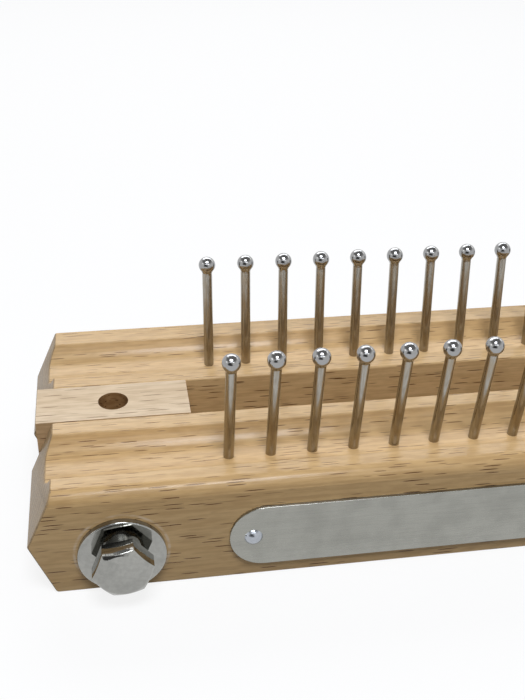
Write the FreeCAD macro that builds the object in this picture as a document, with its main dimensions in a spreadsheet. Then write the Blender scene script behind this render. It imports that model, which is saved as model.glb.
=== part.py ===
# A two-rail knitting board: two beech rails with slanted steel pins, held apart by
# wooden spacer blocks and drawn together by two long bolts with wing nuts.
# Frame: X runs along the rails, Y from the near rail to the far rail, Z up.
# The origin is the middle of the near rail's underside. Lengths are in millimetres.

import FreeCAD, Part
import math
import os
import Sketcher

V = FreeCAD.Vector
X_AXIS = V(1, 0, 0)
Y_AXIS = V(0, 1, 0)
Z_AXIS = V(0, 0, 1)

# Driving dimensions: name, value, meaning
SIZES = [
    ("pin_count", "10", "pins on each rail"),
    ("pin_pitch", "9.525", "pin to pin along a rail, 3/8 in"),
    ("end_margin", "44.45", "end ridge of a rail to its first pin"),
    ("rail_height", "26.5", "underside to top of a rail"),
    ("rail_depth", "26.5", "outer face to inner face of a rail"),
    ("rail_gap", "13.8", "space between the rails"),
    ("outer_strip", "6.4", "flat between the outer face and the channel"),
    ("inner_lip", "4.8", "flat between the channel and the inner face"),
    ("channel_depth", "3.8", "top of a rail to the channel floor, and run of its coved sides"),
    ("cove_radius", "7.0", "radius of the channel's hollow sides"),
    ("outer_round", "3.0", "radius along the near rail's outer top edge"),
    ("edge_ease", "0.5", "radius along the other long edges"),
    ("end_ease", "0.9", "radius across the ridge and the lower corners of an end"),
    ("ridge_height", "13.4", "underside to the ridge of the pointed end"),
    ("upper_run", "5.8", "how far the end slants back above the ridge"),
    ("lower_run", "5.1", "how far the end slants back below the ridge"),
    ("bolt_inset", "19.7", "end ridge to the bolt's axis"),
    ("bolt_height", "10.9", "underside to the bolt's axis"),
    ("bolt_hole", "7.0", "diameter of each bolt hole in wood"),
    ("pin_diameter", "2.4", "shaft of a pin"),
    ("ball_diameter", "4.1", "round head of a pin"),
    ("neck_diameter", "3.0", "swelling where the head joins the shaft"),
    ("pin_reach", "26.8", "channel floor to the centre of the head"),
    ("pin_bite", "12.0", "length of a pin inside the wood"),
    ("pin_point", "0.4", "bevel at the driven end of a pin"),
    ("pin_lean", "7.0", "degrees that each row leans outward"),
    ("spacer_length", "35.2", "length of a spacer block along the rails"),
    ("bolt_diameter", "6.35", "bolt shank, 1/4 in"),
    ("bolt_length", "88.9", "under the head to the end of the bolt, 3 1/2 in"),
    ("bolt_chamfer", "0.8", "bevel at the end of the bolt"),
    ("head_flats", "11.5", "across the flats of the bolt head"),
    ("head_height", "4.2", "thickness of the hexagon of the bolt head"),
    ("head_circle", "10.5", "diameter of the flat circle left on the head's face"),
    ("head_bevel", "30.0", "degrees of the bevel round that circle"),
    ("head_turn", "9.0", "degrees that a corner of the left head stands above level"),
    ("head_collar", "9.6", "diameter of the round collar under the hexagon"),
    ("collar_height", "2.1", "thickness of that collar"),
    ("washer_diameter", "19.0", "outside of a flat washer"),
    ("washer_hole", "7.9", "hole of a flat washer"),
    ("washer_thickness", "1.6", "thickness of a flat washer"),
    ("washer_ease", "0.3", "radius round both rims of a flat washer"),
    ("washer_hang", "0.7", "how far a washer hangs below the middle of its bolt"),
    ("nut_clearance", "0.05", "radial play between bolt and wing nut"),
    ("nut_base", "12.6", "diameter of the wing nut where it seats"),
    ("nut_top", "9.8", "diameter of the wing nut's hub at its end"),
    ("nut_height", "6.2", "height of the wing nut's hub"),
    ("wing_span", "27.4", "tip to tip of the wings"),
    ("wing_rise", "13.9", "seat to the top of the wings"),
    ("wing_slant", "33.0", "degrees that a wing leans away from the bolt"),
    ("wing_tip", "2.7", "radius of a wing's round tip"),
    ("wing_thickness", "2.4", "thickness of a wing"),
    ("wing_foot", "1.2", "seat to the lower edge of a wing at the hub"),
    ("plate_length", "88.9", "length of the bare name plate, 3 1/2 in"),
    ("plate_width", "16.0", "height of the bare name plate, with full round ends"),
    ("plate_thickness", "0.8", "thickness of the name plate"),
    ("plate_height", "11.6", "underside of the rail to the plate's middle line"),
    ("rivet_inset", "5.2", "end of the plate to the centre of a rivet"),
    ("rivet_head", "4.0", "diameter of a rivet's domed head"),
    ("rivet_dome", "1.1", "height of a rivet's domed head"),
    ("rivet_shank", "2.0", "diameter of a rivet's shank"),
    ("rivet_bite", "6.0", "length of a rivet inside the wood"),
]

# Places worked out from the driving dimensions
RAIL_LENGTH = "(2 * Sizes.end_margin + (Sizes.pin_count - 1) * Sizes.pin_pitch)"
BOLT_X = f"({RAIL_LENGTH} / 2 - Sizes.bolt_inset)"
PIN_ROW = "((Sizes.rail_depth + Sizes.outer_strip - Sizes.inner_lip) / 2)"
CHANNEL_FLOOR = "(Sizes.rail_height - Sizes.channel_depth)"
NEAR_FACE = "(-Sizes.rail_depth / 2)"
FAR_FACE = "(1.5 * Sizes.rail_depth + Sizes.rail_gap)"
RIVET_X = "(Sizes.plate_length / 2 - Sizes.rivet_inset)"

doc = FreeCAD.newDocument("knitting_board")
sheet = doc.addObject("Spreadsheet::Sheet", "Sizes")
for row, (alias, number, meaning) in enumerate(SIZES, start=1):
    sheet.set(f"A{row}", meaning)
    sheet.set(f"B{row}", number)
    sheet.setAlias(f"B{row}", alias)
doc.recompute()

pieces = []


def value(expression):
    """The present number of an expression over the sheet."""
    return float(sheet.evalExpression(expression))


def keep(piece, label):
    """Name a finished piece and put it on the list of those to write."""
    piece.Label = label
    pieces.append(piece)
    return piece


def new_body(label):
    return keep(doc.addObject("PartDesign::Body", label), label)


def place(piece, x="0", y="0", z="0", turn=None):
    """Turn a piece, then tie its position to the sheet."""
    if turn is not None:
        piece.Placement = FreeCAD.Placement(V(0, 0, 0), turn)
    for axis, expression in zip("xyz", (x, y, z)):
        piece.setExpression(f".Placement.Base.{axis}", expression)


def new_sketch(body, plane, name):
    """A sketch on one of the body's own origin planes."""
    sketch = body.newObject("Sketcher::SketchObject", name)
    base = next(item for item in body.Origin.OriginFeatures if item.Role == plane)
    sketch.AttachmentSupport = [(base, "")]
    sketch.MapMode = "FlatFace"
    return sketch


def tie(sketch, name, expression, *constraint):
    """Add a dimension to a sketch and bind it to an expression."""
    number = sketch.addConstraint(Sketcher.Constraint(*constraint, value(expression)))
    sketch.renameConstraint(number, name)
    sketch.setExpression(f"Constraints.{name}", expression)


def outline(sketch, corners, arcs=None):
    """A closed outline through corners given as pairs of expressions.

    arcs gives, for the side that leaves a corner, the expressions of its centre
    and radius, and whether it turns to the left."""
    arcs = arcs or {}
    points = [V(value(x), value(y), 0) for x, y in corners]
    ends = []
    for side, start in enumerate(points):
        finish = points[(side + 1) % len(points)]
        if side not in arcs:
            sketch.addGeometry(Part.LineSegment(start, finish), False)
            ends.append((1, 2))
            continue
        centre_x, centre_y, radius, left = arcs[side]
        centre = V(value(centre_x), value(centre_y), 0)
        circle = Part.Circle(centre, Z_AXIS, value(radius))
        first, last = (start, finish) if left else (finish, start)
        angles = [math.atan2(p.y - centre.y, p.x - centre.x) for p in (first, last)]
        sketch.addGeometry(Part.ArcOfCircle(circle, *angles), False)
        ends.append((1, 2) if left else (2, 1))
    for side, (x, y) in enumerate(corners):
        follower = (side + 1) % len(corners)
        sketch.addConstraint(Sketcher.Constraint("Coincident", side, ends[side][1], follower, ends[follower][0]))
        tie(sketch, f"x{side}", x, "DistanceX", -1, 1, side, ends[side][0])
        tie(sketch, f"y{side}", y, "DistanceY", -1, 1, side, ends[side][0])
    for side, (_, _, radius, _) in arcs.items():
        tie(sketch, f"r{side}", radius, "Radius", side)


def circles(sketch, centres, diameter):
    """Equal circles at centres given as pairs of expressions."""
    for number, (x, y) in enumerate(centres):
        start = V(value(x), value(y), 0)
        circle = sketch.addGeometry(Part.Circle(start, Z_AXIS, value(diameter) / 2), False)
        tie(sketch, f"x{number}", x, "DistanceX", -1, 1, circle, 3)
        tie(sketch, f"y{number}", y, "DistanceY", -1, 1, circle, 3)
        tie(sketch, f"d{number}", diameter, "Diameter", circle)


def feature(body, kind, name, sketch, length=None, both=False, reverse=False):
    """A pad or a pocket of a sketch, checked for having changed the solid."""
    before = body.Shape.Volume if body.Tip else 0.0
    item = body.newObject(f"PartDesign::{kind}", name)
    item.Profile = sketch
    item.SideType = "Symmetric" if both else "One side"
    item.Reversed = reverse
    if length is None:
        item.Type = "ThroughAll"
    else:
        item.setExpression("Length", length)
    doc.recompute()
    grown = body.Shape.Volume - before
    if (grown <= 0) if kind == "Pad" else (grown >= 0):
        raise RuntimeError(f"{body.Label}.{name} changed nothing")
    return item


def revolve(body, name, sketch):
    """A full turn of a sketch about its own upright axis."""
    item = body.newObject("PartDesign::Revolution", name)
    item.Profile = sketch
    item.ReferenceAxis = (sketch, ["V_Axis"])
    item.Angle = 360
    doc.recompute()
    return item


def round_edges(body, name, radius, wanted):
    """Round the edges of the present solid that a test picks out."""
    doc.recompute()
    base = body.Tip
    names = [f"Edge{n}" for n, edge in enumerate(base.Shape.Edges, start=1) if wanted(edge)]
    item = body.newObject("PartDesign::Fillet", name)
    item.Base = (base, names)
    item.setExpression("Radius", radius)
    doc.recompute()
    return item


def straight_along_x(edge, y, z):
    """Whether an edge runs along X at the given place across the rail."""
    middle = edge.BoundBox.Center
    return edge.BoundBox.YLength < 1e-6 and edge.BoundBox.ZLength < 1e-6 \
        and abs(middle.y - y) < 1e-4 and abs(middle.z - z) < 1e-4


def straight_along_y(edge, x, z):
    """Whether an edge runs along Y at the given place, at either end of the rail."""
    middle = edge.BoundBox.Center
    return edge.BoundBox.XLength < 1e-6 and edge.BoundBox.ZLength < 1e-6 \
        and abs(abs(middle.x) - x) < 1e-4 and abs(middle.z - z) < 1e-4


# Rails
# Each rail is drawn with its outer face at y = 0 and its inner face at y = depth.
def make_rail(label, in_front):
    """A rail; the one in front carries the plate and is rounded for the hand."""
    body = new_body(label)
    half = f"({RAIL_LENGTH} / 2)"
    side = new_sketch(body, "XZ_Plane", label + "_side")
    outline(side, [
        (half, "Sizes.ridge_height"),
        (f"{half} - Sizes.upper_run", "Sizes.rail_height"),
        (f"Sizes.upper_run - {half}", "Sizes.rail_height"),
        (f"-{half}", "Sizes.ridge_height"),
        (f"Sizes.lower_run - {half}", "0"),
        (f"{half} - Sizes.lower_run", "0"),
    ])
    feature(body, "Pad", label + "_bar", side, "Sizes.rail_depth", reverse=True)

    section = new_sketch(body, "YZ_Plane", label + "_channel_section")
    inner_edge = "Sizes.rail_depth - Sizes.inner_lip"
    rise = "sqrt(Sizes.cove_radius ^ 2 / 2 - Sizes.channel_depth ^ 2 / 4)"
    swing = f"(Sizes.channel_depth / 2 + {rise})"
    above = f"Sizes.rail_height - Sizes.channel_depth / 2 + {rise}"
    outline(section, [
        ("Sizes.outer_strip", "Sizes.rail_height"),
        ("Sizes.outer_strip + Sizes.channel_depth", CHANNEL_FLOOR),
        (f"{inner_edge} - Sizes.channel_depth", CHANNEL_FLOOR),
        (inner_edge, "Sizes.rail_height"),
    ], {
        0: (f"Sizes.outer_strip + {swing}", above, "Sizes.cove_radius", True),
        2: (f"{inner_edge} - {swing}", above, "Sizes.cove_radius", True),
    })
    feature(body, "Pocket", label + "_channel", section, both=True)

    bolts = new_sketch(body, "XZ_Plane", label + "_bolt_places")
    circles(bolts, [(f"-{BOLT_X}", "Sizes.bolt_height"), (BOLT_X, "Sizes.bolt_height")], "Sizes.bolt_hole")
    feature(body, "Pocket", label + "_bolt_holes", bolts, both=True)

    if in_front:
        rivets = new_sketch(body, "XZ_Plane", label + "_rivet_places")
        places = [(f"-{RIVET_X}", "Sizes.plate_height"), (RIVET_X, "Sizes.plate_height")]
        circles(rivets, places, "Sizes.rivet_shank")
        feature(body, "Pocket", label + "_rivet_holes", rivets, "Sizes.rivet_bite")

    height, depth = value("Sizes.rail_height"), value("Sizes.rail_depth")
    ridge, foot = value(half), value(f"{half} - Sizes.lower_run")
    corners = [(ridge, value("Sizes.ridge_height")), (foot, 0)]
    round_edges(body, label + "_eased_ends", "Sizes.end_ease",
                lambda edge: any(straight_along_y(edge, x, z) for x, z in corners))
    eased = [(depth, height), (value(inner_edge), height), (value("Sizes.outer_strip"), height),
             (0, 0), (depth, 0)]
    if in_front:
        round_edges(body, label + "_outer_round", "Sizes.outer_round",
                    lambda edge: straight_along_x(edge, 0, height))
    else:
        eased.append((0, height))
    round_edges(body, label + "_eased_edges", "Sizes.edge_ease",
                lambda edge: any(straight_along_x(edge, y, z) for y, z in eased))

    # The holes for the pins start above the channel floor, on a plane square to the pins
    start = body.newObject("PartDesign::Plane", label + "_pin_plane")
    start.AttachmentSupport = [(next(o for o in body.Origin.OriginFeatures if o.Role == "XY_Plane"), "")]
    start.MapMode = "FlatFace"
    lean = FreeCAD.Rotation(X_AXIS, value("Sizes.pin_lean"))
    start.AttachmentOffset = FreeCAD.Placement(V(0, 0, 0), lean)
    start.setExpression("AttachmentOffset.Base.y", f"{PIN_ROW} - Sizes.pin_diameter * sin(Sizes.pin_lean)")
    start.setExpression("AttachmentOffset.Base.z", f"{CHANNEL_FLOOR} + Sizes.pin_diameter * cos(Sizes.pin_lean)")
    first = body.newObject("Sketcher::SketchObject", label + "_first_pin_place")
    first.AttachmentSupport = [(start, "")]
    first.MapMode = "FlatFace"
    circles(first, [(f"Sizes.end_margin - {half}", "0")], "Sizes.pin_diameter")
    hole = feature(body, "Pocket", label + "_pin_hole", first, "Sizes.pin_bite + Sizes.pin_diameter")
    row = body.newObject("PartDesign::LinearPattern", label + "_pin_holes")
    row.Originals = [hole]
    row.Direction = (next(o for o in body.Origin.OriginFeatures if o.Role == "X_Axis"), [""])
    row.setExpression("Length", "(Sizes.pin_count - 1) * Sizes.pin_pitch")
    row.setExpression("Occurrences", "Sizes.pin_count")
    body.Tip = row
    doc.recompute()
    return body


near_rail = make_rail("near_rail", in_front=True)
place(near_rail, y=NEAR_FACE)
far_rail = make_rail("far_rail", in_front=False)
place(far_rail, y=FAR_FACE, turn=FreeCAD.Rotation(Z_AXIS, 180))


# Pins
# A straight steel shaft with a ball for its head, drawn upright on the channel floor.
def make_pin(label):
    body = new_body(label)
    shaft, neck, ball = "Sizes.pin_diameter / 2", "Sizes.neck_diameter / 2", "Sizes.ball_diameter / 2"
    neck_top = f"Sizes.pin_reach - sqrt(({ball}) ^ 2 - ({neck}) ^ 2)"
    neck_foot = f"{neck_top} - (Sizes.neck_diameter - Sizes.pin_diameter)"
    half = new_sketch(body, "XZ_Plane", label + "_half")
    outline(half, [
        ("0", "-Sizes.pin_bite"),
        (f"{shaft} - Sizes.pin_point", "-Sizes.pin_bite"),
        (shaft, "Sizes.pin_point - Sizes.pin_bite"),
        (shaft, neck_foot),
        (neck, neck_top),
        ("0", f"Sizes.pin_reach + {ball}"),
    ], {4: ("0", "Sizes.pin_reach", ball, True)})
    revolve(body, label + "_turned", half)
    return body


for number in range(round(value("Sizes.pin_count"))):
    along = f"Sizes.end_margin - {RAIL_LENGTH} / 2 + {number} * Sizes.pin_pitch"
    outward = FreeCAD.Rotation(X_AXIS, value("Sizes.pin_lean"))
    inward = FreeCAD.Rotation(X_AXIS, -value("Sizes.pin_lean"))
    near_pin = make_pin(f"near_pin_{number + 1:02d}")
    place(near_pin, along, f"{NEAR_FACE} + {PIN_ROW}", CHANNEL_FLOOR, outward)
    far_pin = make_pin(f"far_pin_{number + 1:02d}")
    place(far_pin, along, f"{FAR_FACE} - {PIN_ROW}", CHANNEL_FLOOR, inward)


# Spacer blocks
# A plain block between the rails, with one hole across it for the bolt and an upright
# one that takes the bolt instead when the block is laid over for the wide gap.
def make_spacer(label, bolt_x):
    block = doc.addObject("Part::Box", label + "_block")
    block.setExpression("Length", "Sizes.spacer_length")
    block.setExpression("Width", "Sizes.rail_gap")
    block.setExpression("Height", "Sizes.rail_height")
    block.setExpression(".Placement.Base.x", "-Sizes.spacer_length / 2")
    upright = doc.addObject("Part::Cylinder", label + "_upright_hole")
    upright.setExpression("Radius", "Sizes.bolt_hole / 2")
    upright.setExpression("Height", "3 * Sizes.rail_height")
    upright.setExpression(".Placement.Base.y", "Sizes.rail_gap / 2")
    upright.setExpression(".Placement.Base.z", "-Sizes.rail_height")
    across = doc.addObject("Part::Cylinder", label + "_cross_hole")
    across.Placement = FreeCAD.Placement(V(0, 0, 0), FreeCAD.Rotation(X_AXIS, -90))
    across.setExpression("Radius", "Sizes.bolt_hole / 2")
    across.setExpression("Height", "3 * Sizes.rail_gap")
    across.setExpression(".Placement.Base.y", "-Sizes.rail_gap")
    across.setExpression(".Placement.Base.z", "Sizes.bolt_height")
    holes = doc.addObject("Part::Fuse", label + "_holes")
    holes.Base, holes.Tool = upright, across
    spacer = keep(doc.addObject("Part::Cut", label), label)
    spacer.Base, spacer.Tool = block, holes
    place(spacer, bolt_x, "Sizes.rail_depth / 2")
    return spacer


# Bolts, washers and wing nuts
# Each is drawn on an upright axis from its seat and then laid along Y.
LAID = FreeCAD.Rotation(X_AXIS, -90)


def make_bolt(label, bolt_x, head_turn):
    """A hexagon bolt: a bevelled hexagon on a round collar, and a plain shank."""
    top = "(Sizes.collar_height + Sizes.head_height)"
    prism = doc.addObject("Part::Prism", label + "_hexagon")
    prism.Polygon = 6
    prism.setExpression("Circumradius", "Sizes.head_flats / sqrt(3)")
    prism.setExpression("Height", "Sizes.head_height")
    prism.setExpression(".Placement.Base.z", f"-{top}")
    rounder = doc.addObject("Part::Cone", label + "_head_bevel")
    rounder.setExpression("Radius1", "Sizes.head_circle / 2")
    rounder.setExpression("Radius2", "Sizes.head_circle / 2 + Sizes.head_height / tan(Sizes.head_bevel)")
    rounder.setExpression("Height", "Sizes.head_height")
    rounder.setExpression(".Placement.Base.z", f"-{top}")
    head = doc.addObject("Part::Common", label + "_head")
    head.Base, head.Tool = prism, rounder
    collar = doc.addObject("Part::Cylinder", label + "_collar")
    collar.setExpression("Radius", "Sizes.head_collar / 2")
    collar.setExpression("Height", "Sizes.collar_height")
    collar.setExpression(".Placement.Base.z", "-Sizes.collar_height")
    shank = doc.addObject("Part::Cylinder", label + "_shank")
    shank.setExpression("Radius", "Sizes.bolt_diameter / 2")
    shank.setExpression("Height", "Sizes.bolt_length - Sizes.bolt_chamfer")
    point = doc.addObject("Part::Cone", label + "_point")
    point.setExpression("Radius1", "Sizes.bolt_diameter / 2")
    point.setExpression("Radius2", "Sizes.bolt_diameter / 2 - Sizes.bolt_chamfer")
    point.setExpression("Height", "Sizes.bolt_chamfer")
    point.setExpression(".Placement.Base.z", "Sizes.bolt_length - Sizes.bolt_chamfer")
    bolt = keep(doc.addObject("Part::MultiFuse", label), label)
    bolt.Shapes = [head, collar, shank, point]
    turned = FreeCAD.Rotation(Y_AXIS, -head_turn) * LAID
    place(bolt, bolt_x, f"{NEAR_FACE} - Sizes.washer_thickness", "Sizes.bolt_height", turned)
    return bolt


def make_washer(label, bolt_x, seat_y):
    body = new_body(label)
    ring = new_sketch(body, "XY_Plane", label + "_ring")
    for name, size in (("outside", "Sizes.washer_diameter"), ("hole", "Sizes.washer_hole")):
        circle = ring.addGeometry(Part.Circle(V(0, 0, 0), Z_AXIS, value(size) / 2), False)
        ring.addConstraint(Sketcher.Constraint("Coincident", circle, 3, -1, 1))
        tie(ring, name, size, "Diameter", circle)
    feature(body, "Pad", label + "_disc", ring, "Sizes.washer_thickness")
    rim = value("Sizes.washer_diameter")
    round_edges(body, label + "_rims", "Sizes.washer_ease",
                lambda edge: len(edge.Vertexes) == 1 and abs(edge.BoundBox.XLength - rim) < 1e-3)
    place(body, bolt_x, seat_y, "Sizes.bolt_height - Sizes.washer_hang", LAID)
    return body


def make_wing_nut(label, bolt_x):
    """A cast wing nut: a tapered hub and two blades that end in round tips."""
    body = new_body(label)
    hub = new_sketch(body, "XZ_Plane", label + "_hub_half")
    bore = "Sizes.bolt_diameter / 2 + Sizes.nut_clearance"
    outline(hub, [
        (bore, "0"),
        ("Sizes.nut_base / 2", "0"),
        ("Sizes.nut_top / 2", "Sizes.nut_height"),
        (bore, "Sizes.nut_height"),
    ])
    revolve(body, label + "_hub", hub)

    tip_x = "Sizes.wing_span / 2 - Sizes.wing_tip"
    tip_z = "Sizes.wing_rise - Sizes.wing_tip"
    across = "Sizes.wing_tip * cos(Sizes.wing_slant)"
    along = "Sizes.wing_tip * sin(Sizes.wing_slant)"
    root_x = "(Sizes.nut_top + Sizes.bolt_diameter) / 4"
    blade = new_sketch(body, "XZ_Plane", label + "_blade_outline")
    outline(blade, [
        (root_x, "Sizes.wing_foot"),
        ("Sizes.nut_base / 2 + Sizes.wing_tip / 2", "Sizes.wing_foot + Sizes.wing_tip / 3"),
        (f"{tip_x} + {across}", f"{tip_z} - {along}"),
        (f"{tip_x} - {across}", f"{tip_z} + {along}"),
        ("Sizes.nut_top / 2 + Sizes.wing_foot", "Sizes.nut_height"),
        (root_x, "Sizes.nut_height - Sizes.wing_foot"),
    ])
    web = feature(body, "Pad", label + "_blade", blade, "Sizes.wing_thickness", both=True)
    tip = new_sketch(body, "XZ_Plane", label + "_tip_outline")
    circles(tip, [(tip_x, tip_z)], "2 * Sizes.wing_tip")
    end = feature(body, "Pad", label + "_tip", tip, "Sizes.wing_thickness", both=True)
    pair = body.newObject("PartDesign::PolarPattern", label + "_pair")
    pair.Originals = [web, end]
    pair.Axis = (next(o for o in body.Origin.OriginFeatures if o.Role == "Z_Axis"), [""])
    pair.Angle = 360
    pair.Occurrences = 2
    body.Tip = pair
    doc.recompute()
    place(body, bolt_x, f"{FAR_FACE} + Sizes.washer_thickness", "Sizes.bolt_height", LAID)
    return body


# The two ends of the board are mirror images, down to the way the bolt heads stand
HEAD_TURN = value("Sizes.head_turn")
SIDES = [("left", f"-{BOLT_X}", HEAD_TURN), ("right", BOLT_X, -HEAD_TURN)]
for side_name, bolt_x, head_turn in SIDES:
    make_spacer(f"spacer_{side_name}", bolt_x)
    make_bolt(f"bolt_{side_name}", bolt_x, head_turn)
    make_washer(f"near_washer_{side_name}", bolt_x, f"{NEAR_FACE} - Sizes.washer_thickness")
    make_washer(f"far_washer_{side_name}", bolt_x, FAR_FACE)
    make_wing_nut(f"wing_nut_{side_name}", bolt_x)


# Name plate and rivets
# The plate is bare sheet metal with round ends, drawn with its back at y = 0.
def make_plate(label):
    body = new_body(label)
    end_x = "Sizes.plate_length / 2 - Sizes.plate_width / 2"
    radius = "Sizes.plate_width / 2"
    shape = new_sketch(body, "XZ_Plane", label + "_outline")
    outline(shape, [
        (f"-({end_x})", f"-{radius}"),
        (end_x, f"-{radius}"),
        ("Sizes.plate_length / 2", "0"),
        (end_x, radius),
        (f"-({end_x})", radius),
        ("-Sizes.plate_length / 2", "0"),
    ], {
        1: (end_x, "0", radius, True),
        2: (end_x, "0", radius, True),
        4: (f"-({end_x})", "0", radius, True),
        5: (f"-({end_x})", "0", radius, True),
    })
    feature(body, "Pad", label + "_sheet", shape, "Sizes.plate_thickness")
    holes = new_sketch(body, "XZ_Plane", label + "_rivet_places")
    circles(holes, [(f"-{RIVET_X}", "0"), (RIVET_X, "0")], "Sizes.rivet_shank")
    feature(body, "Pocket", label + "_rivet_holes", holes, both=True)
    place(body, "0", NEAR_FACE, "Sizes.plate_height")
    return body


def make_rivet(label, rivet_x):
    """A drive rivet, drawn upright with its domed head seated on the plate."""
    body = new_body(label)
    shank, head = "Sizes.rivet_shank / 2", "Sizes.rivet_head / 2"
    foot = "-(Sizes.rivet_bite + Sizes.plate_thickness)"
    dome_radius = f"((({head}) ^ 2 + Sizes.rivet_dome ^ 2) / (2 * Sizes.rivet_dome))"
    half = new_sketch(body, "XZ_Plane", label + "_half")
    outline(half, [
        ("0", foot),
        (shank, foot),
        (shank, "0"),
        (head, "0"),
        ("0", "Sizes.rivet_dome"),
    ], {3: ("0", f"Sizes.rivet_dome - {dome_radius}", dome_radius, True)})
    revolve(body, label + "_turned", half)
    outward = FreeCAD.Rotation(X_AXIS, 90)
    place(body, rivet_x, f"{NEAR_FACE} - Sizes.plate_thickness", "Sizes.plate_height", outward)
    return body


make_plate("name_plate")
make_rivet("rivet_left", f"-{RIVET_X}")
make_rivet("rivet_right", RIVET_X)

doc.recompute()
for item in doc.Objects:
    if "Invalid" in item.State or "Error" in item.State:
        raise RuntimeError(f"{item.Label} did not build: {item.State}")
for piece in pieces:
    if piece.Shape.isNull() or not piece.Shape.isValid() or len(piece.Shape.Solids) != 1:
        raise RuntimeError(f"{piece.Label} is not one sound solid")

os.makedirs("parts", exist_ok=True)
for piece in pieces:
    piece.Shape.exportStep(f"parts/{piece.Label}.step")
print(len(pieces), "pieces written")
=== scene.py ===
import math

import bmesh
import bpy
from mathutils import Matrix, Vector


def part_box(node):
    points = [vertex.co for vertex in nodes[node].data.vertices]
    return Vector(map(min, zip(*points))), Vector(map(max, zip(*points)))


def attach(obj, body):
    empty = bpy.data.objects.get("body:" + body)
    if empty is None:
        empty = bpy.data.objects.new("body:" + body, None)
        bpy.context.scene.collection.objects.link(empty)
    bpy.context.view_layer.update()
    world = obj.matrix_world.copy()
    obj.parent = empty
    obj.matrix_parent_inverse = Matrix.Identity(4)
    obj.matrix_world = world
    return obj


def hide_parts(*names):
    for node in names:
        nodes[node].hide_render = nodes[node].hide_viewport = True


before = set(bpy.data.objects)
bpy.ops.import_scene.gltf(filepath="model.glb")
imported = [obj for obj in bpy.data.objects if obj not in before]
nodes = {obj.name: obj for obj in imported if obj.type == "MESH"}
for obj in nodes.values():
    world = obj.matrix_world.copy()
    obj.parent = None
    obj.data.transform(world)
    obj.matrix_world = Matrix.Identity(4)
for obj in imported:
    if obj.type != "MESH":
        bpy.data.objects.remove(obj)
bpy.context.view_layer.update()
MM = 0.001


# Rails
# Two beech bars, moulded with a hollowed channel and sanded, then given one coat of satin
# lacquer. The pointed ends are sawn across the grain and show darker end grain, and their
# grey-blue cast is a painted reflection of the grey room.
def node_adder(tree):
    """A short way to add a shader node, with its inputs and its settings."""
    def add(kind, inputs=None, **settings):
        node = tree.nodes.new("ShaderNode" + kind)
        for key, setting in settings.items():
            setattr(node, key, setting)
        for socket, source in (inputs or {}).items():
            if isinstance(source, bpy.types.NodeSocket):
                tree.links.new(source, node.inputs[socket])
            else:
                node.inputs[socket].default_value = source
        return node

    return add


def new_finish(name):
    """A material with its shader, and the ways to add and join its nodes."""
    finish = bpy.data.materials.new(name)
    finish.use_nodes = True
    tree = finish.node_tree
    return finish, tree.nodes["Principled BSDF"], node_adder(tree), tree.links.new


def calc(add, operation, *values):
    """One sum on numbers or other nodes' outputs."""
    return add("Math", dict(enumerate(values)), operation=operation).outputs["Value"]


def vector(add, operation, *values):
    """One sum on vectors, which gives a vector or, for a length, a number."""
    outputs = add("VectorMath", dict(enumerate(values)), operation=operation).outputs
    gives_number = operation in ("LENGTH", "DISTANCE", "DOT_PRODUCT")
    return outputs["Value" if gives_number else "Vector"]


def between(add, value, low, high, out_low=0.0, out_high=1.0):
    """Carries a value smoothly from one range to another."""
    inputs = {"Value": value, "From Min": low, "From Max": high,
              "To Min": out_low, "To Max": out_high}
    return add("MapRange", inputs, interpolation_type="SMOOTHSTEP").outputs["Result"]


def blend(add, factor, first, second, blend_type="MIX"):
    """Mixes two colours, each a colour or another node's output."""
    mix = add("Mix", {0: factor, 6: first, 7: second}, data_type="RGBA", blend_type=blend_type)
    return mix.outputs[2]


def axes(add, output):
    """The three numbers of a place or a direction in Object coordinates."""
    return add("SeparateXYZ", {"Vector": add("TexCoord").outputs[output]}).outputs


def stretched(add, size, offset=(0.0, 0.0, 0.0)):
    """Object coordinates in steps of a given size along each axis."""
    place = add("TexCoord").outputs["Object"]
    steps = tuple(1.0 / s for s in size)
    return add("Mapping", {"Vector": place, "Location": offset, "Scale": steps}).outputs["Vector"]


def noise(add, size, detail, offset=(0.0, 0.0, 0.0), output="Fac"):
    """Noise in grains of a given size along each axis, in metres."""
    inputs = {"Vector": stretched(add, size, offset), "Scale": 1.0, "Detail": detail}
    return add("TexNoise", inputs).outputs[output]


def bump(add, height, strength, distance, over=None):
    """A relief too fine to model, on the bare surface or over another relief."""
    inputs = {"Height": height, "Strength": strength, "Distance": distance}
    if over is not None:
        inputs["Normal"] = over
    return add("Bump", inputs).outputs["Normal"]


def from_post(add, across, x, other):
    """Distance from an axis at either end of the board, square to X and one other direction."""
    place = axes(add, "Object")
    outward = calc(add, "ABSOLUTE", place["X"])
    flat = add("CombineXYZ", {"X": outward, across: place[across]}).outputs["Vector"]
    centre = {"X": x, across: other}
    return vector(add, "DISTANCE", flat, tuple(centre.get(axis, 0.0) for axis in "XYZ"))


FLECK_TAPER = (1.9, 6.6, 5.0)
DRIFT_SIZE, DRIFT_AMOUNT = (0.010, 0.004, 0.004), (0.4, 0.4, 0.4)


def ray_flecks(add, gap, share, shown, offset):
    """Short dark spindles along X, one in most cells of a scattered grid."""
    drift = noise(add, DRIFT_SIZE, 1.0, offset, "Color")
    place = vector(add, "MULTIPLY_ADD", drift, DRIFT_AMOUNT, stretched(add, gap, offset))
    cells = add("TexVoronoi", {"Vector": place, "Scale": 1.0, "Randomness": 1.0}).outputs
    chance = add("SeparateColor", {"Color": cells["Color"]}).outputs["Red"]
    away = vector(add, "SUBTRACT", place, cells["Position"])
    core = between(add, vector(add, "LENGTH", vector(add, "MULTIPLY", away, FLECK_TAPER)), 1.0, 0.7)
    kept = calc(add, "MULTIPLY", between(add, chance, 1.0 - share, 1.25 - share), shown)
    return calc(add, "MULTIPLY", core, kept)


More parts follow.
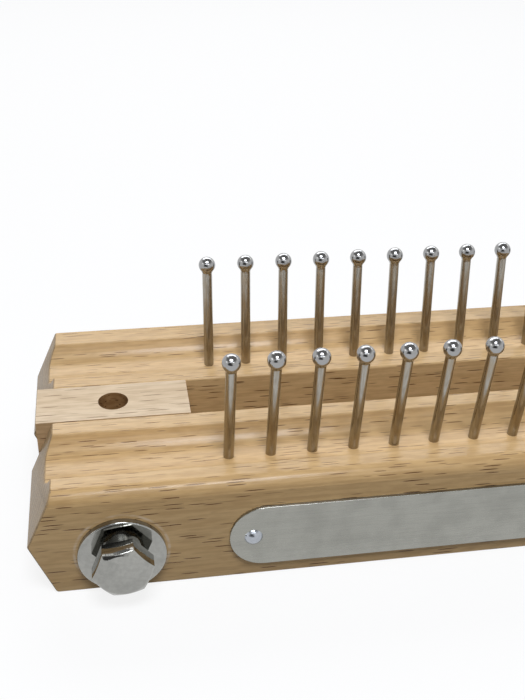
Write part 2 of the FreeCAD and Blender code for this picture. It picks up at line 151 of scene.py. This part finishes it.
LOG_HEART, RING_WIDTH, RING_WANDER = (0.0, 62.0, -48.0), 2.1, 5.0
LATE_WOOD_SHADE, PORE_SHADES, PORE_SIZE = 0.80, (0.80, 1.04), (0.02, 0.00022, 0.00022)


def end_grain(add, wood, deep, sawn_and_reflection, bands, offset):
    """The growth rings, in millimetres, and open pores that a cut across the log lays bare."""
    from_heart = vector(add, "DISTANCE", stretched(add, (1e3, MM, MM)), LOG_HEART)
    wandering = calc(add, "MULTIPLY_ADD", bands, RING_WANDER, from_heart)
    ring_place = calc(add, "MODULO", wandering, RING_WIDTH)
    late_wood = between(add, ring_place, 1.0, 2.0, 1.0, LATE_WOOD_SHADE)
    pores = between(add, noise(add, PORE_SIZE, 2.0, offset), 0.40, 0.58, *PORE_SHADES)
    ringed = calc(add, "MULTIPLY", late_wood, pores)
    # The end tint darkens the cut; on the rails its grey-blue part is a painted reflection of the
    # grey room.
    cut = blend(add, 1.0, blend(add, 0.6, wood, deep), sawn_and_reflection, "MULTIPLY")
    return blend(add, 1.0, cut, ringed, "MULTIPLY")


BAND_SIZE, FIBRE_SIZE = (0.22, 0.005, 0.006), (0.016, 0.0005, 0.0005)
PATCH_SIZE = (0.005, 0.0012, 0.0012)
STREAK_DARK, STREAK_PALE = (0.89, 0.86, 0.81, 1.0), (1.07, 1.07, 1.06, 1.0)
GRAIN_RELIEF, FLECK_RELIEF, LACQUER_ROUGHNESS = 0.05 * MM, -0.8, 0.20


def beech(name, pale, deep, fleck, ray_gap, fleck_share, shown_on_top, offset,
          sawn_and_reflection, sawn_from, lacquer, shine, mark=None):
    """Beech sawn along X: soft growth bands, fine fibre, short flecks, and sawn ends."""
    finish, shader, add, join = new_finish(name)
    facing = axes(add, "Normal")
    bands = noise(add, BAND_SIZE, 3.0, offset)
    fibre = noise(add, FIBRE_SIZE, 3.0, offset)
    patches = noise(add, PATCH_SIZE, 2.0, offset)
    banded = blend(add, between(add, bands, 0.32, 0.68), pale, deep)
    streaks = blend(add, between(add, calc(add, "ADD", fibre, patches), 0.75, 1.25),
                    STREAK_DARK, STREAK_PALE)
    fibred = blend(add, 1.0, banded, streaks, "MULTIPLY")
    shown = between(add, facing["Z"], 0.3, 0.9, 1.0, shown_on_top)
    flecks = ray_flecks(add, ray_gap, fleck_share, shown, offset)
    flecked = blend(add, flecks, fibred, fleck)

    outward = calc(add, "ABSOLUTE", axes(add, "Object")["X"])
    on_end = calc(add, "MULTIPLY", between(add, calc(add, "ABSOLUTE", facing["X"]), 0.25, 0.40),
                  between(add, outward, sawn_from, sawn_from + MM))
    grained = blend(add, on_end, flecked, end_grain(add, flecked, deep, sawn_and_reflection, bands, offset))
    if mark:
        grained = mark(add, grained, facing, patches)
    join(grained, shader.inputs["Base Color"])

    height = calc(add, "MULTIPLY_ADD", flecks, FLECK_RELIEF, fibre)
    relief = bump(add, height, 0.6, GRAIN_RELIEF)
    join(relief, shader.inputs["Normal"])
    join(relief, shader.inputs["Coat Normal"])
    join(between(add, fibre, 0.2, 0.8, 0.44, 0.60), shader.inputs["Roughness"])
    shader.inputs["Specular IOR Level"].default_value = shine
    shader.inputs["Coat Weight"].default_value = lacquer
    shader.inputs["Coat Roughness"].default_value = LACQUER_ROUGHNESS
    return finish


BOLT_AXIS = [(a + b) / 2 for a, b in zip(*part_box("bolt_right"))]
WASHER_DROP, WASHER_RADIUS = 0.7 * MM, 9.5 * MM
RUB_RISES, RUB_FADES = (0.2 * MM, 0.5 * MM), (1.1 * MM, 0.7 * MM)
BARE_BEECH = (0.72, 0.60, 0.46, 1.0)


def washer_rub(add, wood, facing, unevenness):
    """A pale line where the lacquer has lifted just outside each near washer."""
    away = from_post(add, "Z", BOLT_AXIS[0], BOLT_AXIS[2] - WASHER_DROP)
    inner = between(add, away, *[WASHER_RADIUS + edge for edge in RUB_RISES])
    outer = between(add, away, *[WASHER_RADIUS + edge for edge in RUB_FADES])
    in_front = between(add, facing["Y"], -0.8, -0.95)
    ring = calc(add, "MULTIPLY", calc(add, "MULTIPLY", inner, outer), in_front)
    patchy = calc(add, "MULTIPLY", ring, between(add, unevenness, 0.35, 0.60, 0.10, 0.55))
    return blend(add, patchy, wood, BARE_BEECH)


# The rails' sawn-end tint below is darker end grain with a painted grey-blue reflection over it.
rail_beech = beech("rail_beech",
                   pale=(0.60, 0.410, 0.206, 1.0), deep=(0.568, 0.374, 0.174, 1.0),
                   fleck=(0.125, 0.055, 0.017, 1.0), ray_gap=(0.0050, 0.00075, 0.00075),
                   fleck_share=0.95, shown_on_top=0.80, offset=(0.0, 0.0, 0.0),
                   sawn_and_reflection=(0.75, 0.78, 0.87, 1.0), sawn_from=0.070, lacquer=0.34, shine=0.10,
                   mark=washer_rub)


DECIMALS, WELD_GAP, PACKED_WELD_GAP = 7, 0.001 * MM, 0.002 * MM


def in_order(shape):
    """The same shape with its points and faces in a fixed order, so that each run shades alike."""
    places = {vert: tuple(round(c, DECIMALS) for c in vert.co) for vert in shape.verts}
    points = sorted(shape.verts, key=places.get)
    number = {vert: index for index, vert in enumerate(points)}
    outlines = []
    for face in shape.faces:
        outline = [number[vert] for vert in face.verts]
        start = outline.index(min(outline))
        outlines.append(outline[start:] + outline[:start])
    ordered = bmesh.new()
    placed = [ordered.verts.new(places[vert]) for vert in points]
    for outline in sorted(outlines):
        ordered.faces.new([placed[index] for index in outline])
    shape.free()
    return ordered


def finished(shape, name, material, body, sharp=30.0):
    """Turns a bmesh into a named piece with smooth faces, sharp past an angle."""
    bmesh.ops.remove_doubles(shape, verts=shape.verts, dist=WELD_GAP)
    shape = in_order(shape)
    bmesh.ops.recalc_face_normals(shape, faces=shape.faces)
    for face in shape.faces:
        face.smooth = True
    for edge in shape.edges:
        if edge.is_manifold and edge.calc_face_angle() > math.radians(sharp):
            edge.smooth = False
    mesh = bpy.data.meshes.new(name)
    shape.to_mesh(mesh)
    shape.free()
    mesh.materials.append(material)
    piece = bpy.data.objects.new(name, mesh)
    bpy.context.collection.objects.link(piece)
    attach(piece, body)
    return piece


def welded(node_name):
    """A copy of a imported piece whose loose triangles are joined."""
    shape = bmesh.new()
    shape.from_mesh(nodes[node_name].data)
    bmesh.ops.remove_doubles(shape, verts=shape.verts, dist=PACKED_WELD_GAP)
    return shape


END_FROM, SANDED = 72.5 * MM, 0.35 * MM


def on_rail_end(edge):
    """Whether an edge is a corner of one of a rail's sawn ends."""
    xs = [vert.co.x for vert in edge.verts]
    return (edge.is_manifold and edge.calc_face_angle() > math.radians(20.0)
            and min(xs) * max(xs) > 0.0 and min(map(abs, xs)) > END_FROM)


for side in ("near", "far"):
    rail = welded(side + "_rail")
    bmesh.ops.dissolve_limit(rail, angle_limit=math.radians(0.5), verts=rail.verts,
                             edges=rail.edges)
    bmesh.ops.bevel(rail, geom=[edge for edge in rail.edges if on_rail_end(edge)], offset=SANDED,
                    segments=3, profile=0.5, affect="EDGES", material=-1)
    piece = finished(rail, side + "_rail_sanded", rail_beech, side + "_board")
    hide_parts(side + "_rail")


# Pins
# Hardened steel pins, nickel plated and driven into the channel, with a ball on the free
# end. The shaft keeps the lines of drawing, and the ball is polished so that yarn slips off.
def dress(names, material):
    """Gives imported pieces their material."""
    for name in names:
        nodes[name].data.materials.clear()
        nodes[name].data.materials.append(material)


PIN_NAMES = [name for name in nodes if "_pin_" in name]
BALL_DEPTH, NECK_LENGTH = 4.3 * MM, 0.5 * MM
BALL_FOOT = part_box(PIN_NAMES[0])[1][2] - BALL_DEPTH
BRIGHT_STEEL, DULL_STEEL = (0.38, 0.36, 0.32, 1.0), (0.31, 0.285, 0.245, 1.0)
YELLOWED, POLISHED = (0.34, 0.29, 0.22, 1.0), (0.34, 0.34, 0.34, 1.0)
POLISHED_ROUGHNESS, SCORE_RELIEF, TUMBLE_RELIEF = 0.06, 0.008 * MM, 0.05 * MM

pin_steel, shader, add, join = new_finish("pin_steel")
on_ball = between(add, axes(add, "Object")["Z"], BALL_FOOT, BALL_FOOT + NECK_LENGTH)
drawn = noise(add, (0.0003, 0.0003, 0.03), 2.0)
tarnish = noise(add, (0.004, 0.004, 0.008), 2.0)
shaft_colour = blend(add, between(add, drawn, 0.3, 0.7), BRIGHT_STEEL, DULL_STEEL)
aged = blend(add, between(add, tarnish, 0.45, 0.75), shaft_colour, YELLOWED)
join(blend(add, on_ball, aged, POLISHED), shader.inputs["Base Color"])
shaft_roughness = between(add, drawn, 0.3, 0.7, 0.16, 0.26)
roughness = add("Mix", {0: on_ball, 2: shaft_roughness, 3: POLISHED_ROUGHNESS}).outputs[0]
join(roughness, shader.inputs["Roughness"])
scored = bump(add, drawn, 0.2, SCORE_RELIEF)
tumbled = calc(add, "MULTIPLY", noise(add, (0.0011, 0.0011, 0.0011), 0.0), on_ball)
join(bump(add, tumbled, 1.0, TUMBLE_RELIEF, over=scored), shader.inputs["Normal"])
shader.inputs["Metallic"].default_value = 1.0
dress(PIN_NAMES, pin_steel)


# Spacer blocks
# Short offcuts of the same beech, sawn and drilled but never lacquered, so they stay pale
# and dull beside the rails. The bolts run through them. Their sides along Y and the walls of
# their holes carry painted shade.
DRILLED = 3.5 * MM
# Painted shade: one tint darkens the spacers' sides along Y, and a darker and a paler tint,
# mottled, darken the walls of their drilled holes.
SIDE_PAINTED_SHADE = (0.84, 0.72, 0.58, 1.0)
HOLE_PAINTED_SHADE_DARK, HOLE_PAINTED_SHADE_PALE = (0.40, 0.27, 0.15, 1.0), (0.66, 0.50, 0.33, 1.0)
SLOT_MIDDLE = sum(corner[1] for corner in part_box("spacer_right")) / 2


def painted_side_and_hole_shade(add, wood, facing, unevenness):
    """Painted shade: darker sides along Y, and darker, mottled walls in the upright holes."""
    side = between(add, calc(add, "ABSOLUTE", facing["Y"]), 0.7, 0.9)
    shaded_sides = blend(add, side, wood, blend(add, 1.0, wood, SIDE_PAINTED_SHADE, "MULTIPLY"))
    away = from_post(add, "Y", BOLT_AXIS[0], SLOT_MIDDLE)
    near_hole = between(add, away, DRILLED + 0.25 * MM, DRILLED + 0.05 * MM)
    on_wall = calc(add, "MULTIPLY", near_hole, between(add, facing["Z"], 0.6, 0.3))
    hole_shade = blend(add, unevenness, HOLE_PAINTED_SHADE_DARK, HOLE_PAINTED_SHADE_PALE)
    return blend(add, on_wall, shaded_sides, blend(add, 1.0, wood, hole_shade, "MULTIPLY"))


spacer_beech = beech("spacer_beech",
                     pale=(0.67, 0.53, 0.37, 1.0), deep=(0.62, 0.475, 0.315, 1.0),
                     fleck=(0.17, 0.085, 0.035, 1.0), ray_gap=(0.0065, 0.00080, 0.00080),
                     fleck_share=0.85, shown_on_top=0.95, offset=(0.3, 0.1, 0.2),
                     sawn_and_reflection=(0.84, 0.70, 0.55, 1.0), sawn_from=0.083, lacquer=0.0, shine=0.25,
                     mark=painted_side_and_hole_shade)
dress(("spacer_left", "spacer_right"), spacer_beech)


# Bolts
# Bright nickel plated hexagon bolts. The head is forged with a round collar under it and
# its corners are turned off, and the free end is threaded for the wing nut.
CLOUD_SIZE, CLOUD_SHADE, SCUFF_RELIEF = (0.006, 0.006, 0.006), 0.88, 0.01 * MM
DIE_MARK_SIZE = (0.0009, 0.03, 0.0009)


def plated_metal(name, colour, roughness, grit, brushed=1.0, die_marks=0.0):
    """Plated metal with fine handling marks, an uneven shine, and die marks along Y if asked."""
    finish, shader, add, join = new_finish(name)
    marks = noise(add, (grit * brushed, grit, grit), 4.0)
    cloud = noise(add, CLOUD_SIZE, 2.0)
    dull = tuple(c * CLOUD_SHADE for c in colour[:3]) + (1.0,)
    tone = blend(add, between(add, cloud, 0.35, 0.7), colour, dull)
    scratched = blend(add, 1.0, tone, between(add, marks, 0.3, 0.7, 0.94, 1.06), "MULTIPLY")
    join(scratched, shader.inputs["Base Color"])
    uneven = between(add, marks, 0.3, 0.7, roughness * 0.8, roughness * 1.3)
    join(uneven, shader.inputs["Roughness"])
    scuffs = bump(add, marks, 0.15, SCUFF_RELIEF)
    if die_marks:
        grooves = noise(add, DIE_MARK_SIZE, 2.0)
        scuffs = bump(add, grooves, 0.5, die_marks, over=scuffs)
    join(scuffs, shader.inputs["Normal"])
    shader.inputs["Metallic"].default_value = 1.0
    return finish


NICKEL, NICKEL_ROUGHNESS, HANDLING_GRIT = (0.34, 0.34, 0.32, 1.0), 0.07, 0.0008
forged_plating = plated_metal("forged_plating", NICKEL, NICKEL_ROUGHNESS, HANDLING_GRIT,
                              die_marks=0.08 * MM)
BLANK_RADIUS, HEAD_RADIUS, HEAD_CIRCLE, HEAD_BEVEL = 8.0, 5.75, 5.25, math.radians(30.0)
HEAD_HEIGHT, COLLAR_RADIUS, COLLAR_HEIGHT, CORNER_WEAR = 4.2, 4.8, 2.1, 0.10
SHANK_RADIUS, BOLT_LENGTH, THREAD_LENGTH, TIP_BEVEL, TIP_TAPER = 3.175, 88.9, 30.0, 0.8, 0.76
LEAD, THREAD_ROOT, THREAD_STEPS, CREST_FROM, CREST_TO = 1.27, 2.70, 28, 0.42, 0.58


def everything(shape):
    """All of a shape's geometry, as the cutting tool wants it."""
    return shape.verts[:] + shape.edges[:] + shape.faces[:]


def fill_open_ends(shape):
    """Closes every hole that a cut or a spin has left."""
    bmesh.ops.holes_fill(shape, edges=[edge for edge in shape.edges if edge.is_boundary])


def grow_rim(shape, rim, rise, widen):
    """Draws an open rim up along Z, widens it by what its radius asks, and returns the new rim."""
    grown = bmesh.ops.extrude_edge_only(shape, edges=rim)["geom"]
    ring = [item for item in grown if isinstance(item, bmesh.types.BMVert)]
    bmesh.ops.translate(shape, verts=ring, vec=(0, 0, rise))
    wider = widen(math.hypot(ring[0].co.x, ring[0].co.y))
    bmesh.ops.scale(shape, verts=ring, vec=(wider, wider, 1))
    return [item for item in grown if isinstance(item, bmesh.types.BMEdge) and item.is_boundary]


def thread_mesh():
    """The rolled thread and the bevelled tip, from z = BOLT_LENGTH - THREAD_LENGTH up."""
    tooth = [(THREAD_ROOT, 0.0), (SHANK_RADIUS, CREST_FROM * LEAD),
             (SHANK_RADIUS, CREST_TO * LEAD), (THREAD_ROOT, LEAD)]
    thread = bmesh.new()
    points = [thread.verts.new((radius, 0.0, rise)) for radius, rise in tooth]
    edges = [thread.edges.new(pair) for pair in zip(points, points[1:])]
    turns = math.ceil(THREAD_LENGTH / LEAD) + 1
    bmesh.ops.spin(thread, geom=points + edges, cent=(0, 0, 0), axis=(0, 0, 1),
                   dvec=(0, 0, LEAD / THREAD_STEPS), angle=2 * math.pi * turns,
                   steps=THREAD_STEPS * turns)
    bmesh.ops.remove_doubles(thread, verts=thread.verts, dist=1e-4)
    for rise, side in ((LEAD, -1), (LEAD + THREAD_LENGTH - TIP_BEVEL, 1)):
        bmesh.ops.bisect_plane(thread, geom=everything(thread), dist=1e-5,
                               plane_co=(0, 0, rise), plane_no=(0, 0, side), clear_outer=True)
    open_end = [edge for edge in thread.edges
                if edge.is_boundary and edge.verts[0].co.z > 2 * LEAD]
    grow_rim(thread, open_end, TIP_BEVEL, lambda radius: TIP_TAPER)
    fill_open_ends(thread)
    seat_to_thread = BOLT_LENGTH - THREAD_LENGTH - LEAD
    bmesh.ops.translate(thread, verts=thread.verts, vec=(0, 0, seat_to_thread))
    rolled = bpy.data.meshes.new("rolled_thread")
    thread.to_mesh(rolled)
    thread.free()
    return rolled


def bolt_shape(head_turn):
    """A bolt on an upright axis, its seat at z = 0 and its head below, in millimetres."""
    bolt = bmesh.new()
    drop = (BLANK_RADIUS - HEAD_CIRCLE) * math.tan(HEAD_BEVEL)
    bmesh.ops.create_circle(bolt, cap_ends=True, segments=96, radius=HEAD_CIRCLE)
    bmesh.ops.translate(bolt, verts=bolt.verts, vec=(0, 0, -COLLAR_HEIGHT - HEAD_HEIGHT))
    rim = bolt.edges[:]
    for rise in (drop, HEAD_HEIGHT - drop):
        rim = grow_rim(bolt, rim, rise, lambda radius: BLANK_RADIUS / radius)
    fill_open_ends(bolt)
    for flat in range(6):
        turn = math.radians(60.0 * flat + 30.0) + head_turn
        outward = Vector((math.cos(turn), math.sin(turn), 0.0))
        bmesh.ops.bisect_plane(bolt, geom=everything(bolt), dist=1e-5,
                               plane_co=outward * HEAD_RADIUS, plane_no=outward,
                               clear_outer=True)
        fill_open_ends(bolt)
    corners = [edge for edge in bolt.edges if edge.calc_face_angle(0.0) > math.radians(20.0)]
    bmesh.ops.bevel(bolt, geom=corners, offset=CORNER_WEAR, segments=2, profile=0.5,
                    affect="EDGES", material=-1)

    plain_length = BOLT_LENGTH - THREAD_LENGTH
    for low, high, radius in ((-COLLAR_HEIGHT, 0.0, COLLAR_RADIUS),
                              (0.0, plain_length, SHANK_RADIUS)):
        bmesh.ops.create_cone(bolt, cap_ends=True, segments=64, radius1=radius, radius2=radius,
                              depth=high - low, matrix=Matrix.Translation((0, 0, (low + high) / 2)))
    rolled = thread_mesh()
    bolt.from_mesh(rolled)
    bpy.data.meshes.remove(rolled)
    return bolt


LAID = Matrix.Rotation(math.radians(-90.0), 4, "X") @ Matrix.Scale(MM, 4)
HEAD_TURN = math.radians(9.0)
for side, head_turn in (("left", -HEAD_TURN), ("right", HEAD_TURN)):
    low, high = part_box("bolt_" + side)
    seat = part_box("near_washer_" + side)[0][1]
    bolt = bolt_shape(head_turn)
    axis = Matrix.Translation(((low[0] + high[0]) / 2, seat, (low[2] + high[2]) / 2))
    bmesh.ops.transform(bolt, matrix=axis @ LAID, verts=bolt.verts)
    piece = finished(bolt, "hexagon_bolt_" + side, forged_plating, "near_board")
    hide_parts("bolt_" + side)


# Washers
# Thick steel washers, stamped from sheet, polished and plated like the bolts. Their holes
# are wide, so each hangs a little low on its bolt, under the head or the wing nut.
washer_plating = plated_metal("washer_plating", NICKEL, NICKEL_ROUGHNESS, HANDLING_GRIT)
dress(("near_washer_left", "near_washer_right", "far_washer_left", "far_washer_right"),
      washer_plating)


# Wing nuts
# Cast wing nuts, zinc plated over the slightly soft edges that the mould leaves. Only the
# bore is cut afterwards, so it alone stays crisp.
nut_plating = plated_metal("nut_plating", (0.46, 0.455, 0.43, 1.0), 0.24, 0.0005)
CAST_GRAIN, WEAR_ROUNDS = 0.28 * MM, 6
BORE_RADIUS, BORE_WALL, BORE_SKIN = 3.30 * MM, 3.75 * MM, 0.25 * MM
for side in ("left", "right"):
    low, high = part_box("bolt_" + side)
    axis_x, axis_z = (low[0] + high[0]) / 2, (low[2] + high[2]) / 2
    pattern = welded("wing_nut_" + side)
    closed = bpy.data.meshes.new("nut_pattern")
    pattern.to_mesh(closed)
    pattern.free()
    mould = bpy.data.objects.new("nut_mould", closed)
    bpy.context.collection.objects.link(mould)
    grain = mould.modifiers.new("cast_grain", "REMESH")
    grain.mode = "VOXEL"
    grain.voxel_size = CAST_GRAIN
    bpy.context.view_layer.update()
    filled = mould.evaluated_get(bpy.context.evaluated_depsgraph_get())
    poured = bpy.data.meshes.new_from_object(filled)
    bpy.data.objects.remove(mould)
    casting = bmesh.new()
    casting.from_mesh(poured)
    bpy.data.meshes.remove(poured)

    def from_axis(vert):
        """Distance of a point from the bolt's axis."""
        return math.hypot(vert.co.x - axis_x, vert.co.z - axis_z)

    soft = [vert for vert in casting.verts if from_axis(vert) > BORE_WALL]
    for wear in range(WEAR_ROUNDS):
        bmesh.ops.smooth_vert(casting, verts=soft, factor=0.5,
                              use_axis_x=True, use_axis_y=True, use_axis_z=True)
    for vert in casting.verts:
        away = from_axis(vert)
        if away < BORE_WALL - BORE_SKIN:
            vert.co.x = axis_x + (vert.co.x - axis_x) * BORE_RADIUS / away
            vert.co.z = axis_z + (vert.co.z - axis_z) * BORE_RADIUS / away
    piece = finished(casting, "cast_wing_nut_" + side, nut_plating, side + "_wing_nut",
                     sharp=70.0)
    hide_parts("wing_nut_" + side)


# Name plate and rivets
# A bare strip of satin metal sheet with round ends and a bright rim. Two domed aluminium
# drive rivets hold it to the near rail.
plate_metal = plated_metal("plate_metal", (0.335, 0.335, 0.305, 1.0), 0.26, 0.0003, brushed=40.0)
PLATE_RIM, LEFT_STRAIGHT = 0.14, 0.005
low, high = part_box("name_plate")
plate_size = [(b - a) / MM for a, b in zip(low, high)]
plate = bmesh.new()
bmesh.ops.create_cube(plate, size=1.0)
bmesh.ops.scale(plate, verts=plate.verts, vec=plate_size)
through = [edge for edge in plate.edges
           if abs(edge.verts[0].co.y - edge.verts[1].co.y) > plate_size[1] / 2]
bmesh.ops.bevel(plate, geom=through, offset=plate_size[2] / 2 - LEFT_STRAIGHT, segments=24,
                profile=0.5, affect="EDGES", material=-1)
front_rim = [edge for edge in plate.edges
             if all(vert.co.y < 0.0 for vert in edge.verts)
             and edge.calc_face_angle(0.0) > math.radians(60.0)]
bmesh.ops.bevel(plate, geom=front_rim, offset=PLATE_RIM, segments=3, profile=0.5,
                affect="EDGES", material=-1)
plate_middle = Matrix.Translation([(a + b) / 2 for a, b in zip(low, high)])
bmesh.ops.transform(plate, matrix=plate_middle @ Matrix.Scale(MM, 4), verts=plate.verts)
piece = finished(plate, "bare_plate", plate_metal, "near_board", sharp=50.0)
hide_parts("name_plate")

rivet_metal = plated_metal("rivet_metal", (0.42, 0.445, 0.485, 1.0), 0.20, HANDLING_GRIT)
dress(("rivet_left", "rivet_right"), rivet_metal)


# Room
# A white table top in a white room, with a darker patch of wall behind the camera and a dim
# ceiling whose glowing panels show only as reflections. Two soft boxes and a narrow strip
# lamp, which draws the shine along the edges, hang above the board.
table_white, shader, add, join = new_finish("table_white")
rays = add("LightPath").outputs
direct = calc(add, "MAXIMUM", rays["Is Camera Ray"], rays["Is Glossy Ray"])
seen = calc(add, "MAXIMUM", direct, rays["Is Transmission Ray"])
BOUNCED_WHITE, SEEN_WHITE = (0.22, 0.21, 0.19, 1.0), (0.96, 0.96, 0.96, 1.0)
SEEN_GLOW, TABLE_SIZE = 0.84, 20.0
join(blend(add, seen, BOUNCED_WHITE, SEEN_WHITE), shader.inputs["Base Color"])
shader.inputs["Roughness"].default_value = 0.9
shader.inputs["Specular IOR Level"].default_value = 0.0
glow = add("Emission", {"Color": (1.0, 1.0, 1.0, 1.0), "Strength": 1.0}).outputs["Emission"]
mixed = add("MixShader", {0: calc(add, "MULTIPLY", seen, SEEN_GLOW),
                          1: shader.outputs["BSDF"], 2: glow})
join(mixed.outputs["Shader"], table_white.node_tree.nodes["Material Output"].inputs["Surface"])

table = bmesh.new()
bmesh.ops.create_grid(table, x_segments=1, y_segments=1, size=TABLE_SIZE)
table_mesh = bpy.data.meshes.new("table_top")
table.to_mesh(table_mesh)
table.free()
table_mesh.materials.append(table_white)
table_top = bpy.data.objects.new("table_top", table_mesh)
bpy.context.collection.objects.link(table_top)

world = bpy.data.worlds.new("white_room")
bpy.context.scene.world = world
world.use_nodes = True
add, join = node_adder(world.node_tree), world.node_tree.links.new
rays = add("LightPath").outputs
way = add("TexCoord").outputs["Generated"]
rise = add("SeparateXYZ", {"Vector": way}).outputs["Z"]
DARK_WALL, DARK_WALL_LEVEL = (-0.37, -0.92, 0.13), 0.08
WALL_LEVEL, CEILING_LEVEL, PANEL_LEVEL, AMBIENT = 1.0, 0.28, 1.5, 0.15
wall_to_ceiling = between(add, rise, 0.35, 0.75, WALL_LEVEL, CEILING_LEVEL)
panels = add("TexVoronoi", {"Vector": way, "Scale": 1.9, "Randomness": 0.8}).outputs["Distance"]
panel_glow = between(add, panels, 0.42, 0.30, 0.0, PANEL_LEVEL)
overhead = between(add, rise, 0.30, 0.45)
ceiling = calc(add, "MULTIPLY_ADD", panel_glow, overhead, wall_to_ceiling)
toward_dark = vector(add, "DOT_PRODUCT", way, DARK_WALL)
patch = between(add, toward_dark, 0.82, 0.97, 1.0, DARK_WALL_LEVEL)
mirrored = calc(add, "MAXIMUM", rays["Is Glossy Ray"], rays["Is Transmission Ray"])
level = between(add, mirrored, 0.0, 1.0, AMBIENT, 1.0)
lit = calc(add, "MULTIPLY", calc(add, "MULTIPLY", ceiling, patch), level)
background = world.node_tree.nodes["Background"]
background.inputs["Color"].default_value = (1.0, 1.0, 1.0, 1.0)
join(calc(add, "MAXIMUM", lit, rays["Is Camera Ray"]), background.inputs["Strength"])

BOARD_MIDDLE = Vector((0.0, 20 * MM, 20 * MM))
DAYLIGHT = (0.97, 1.0, 1.06)


def lamp(name, azimuth, elevation, distance, width, height, power):
    """A soft lamp that faces the board from a direction in degrees."""
    light = bpy.data.lights.new(name, "AREA")
    light.shape = "RECTANGLE"
    light.size, light.size_y, light.energy = width, height, power
    light.color = DAYLIGHT
    turn, lift = math.radians(azimuth), math.radians(elevation)
    toward = Vector((math.sin(turn) * math.cos(lift), -math.cos(turn) * math.cos(lift),
                     math.sin(lift)))
    holder = bpy.data.objects.new(name, light)
    holder.location = BOARD_MIDDLE + toward * distance
    holder.rotation_euler = toward.to_track_quat("Z", "Y").to_euler()
    bpy.context.collection.objects.link(holder)


lamp("soft_box_behind", azimuth=176.0, elevation=41.0, distance=0.75,
     width=0.90, height=0.30, power=2.9)
lamp("soft_box_above", azimuth=-10.0, elevation=68.0, distance=0.75,
     width=0.28, height=0.26, power=4.0)
lamp("strip_lamp", azimuth=0.0, elevation=43.0, distance=0.70,
     width=0.60, height=0.06, power=0.5)

CAMERA_PLACE = (-66.2 * MM, -171.3 * MM, 157.5 * MM)
CAMERA_YAW, CAMERA_PITCH, CAMERA_ROLL = 10.0, 31.6, 1.6
SENSOR_WIDTH, FOCAL_LENGTH = 36.0, 50.3
camera_data = bpy.data.cameras.new("camera")
camera_data.sensor_width = SENSOR_WIDTH
camera_data.lens = FOCAL_LENGTH
camera_data.clip_start = 0.01
camera = bpy.data.objects.new("camera", camera_data)
bpy.context.collection.objects.link(camera)
camera.matrix_world = (
    Matrix.Translation(CAMERA_PLACE)
    @ Matrix.Rotation(math.radians(-CAMERA_YAW), 4, "Z")
    @ Matrix.Rotation(math.radians(90.0 - CAMERA_PITCH), 4, "X")
    @ Matrix.Rotation(math.radians(CAMERA_ROLL), 4, "Z")
)
bpy.context.scene.camera = camera
bpy.context.scene.view_settings.view_transform = "Standard"
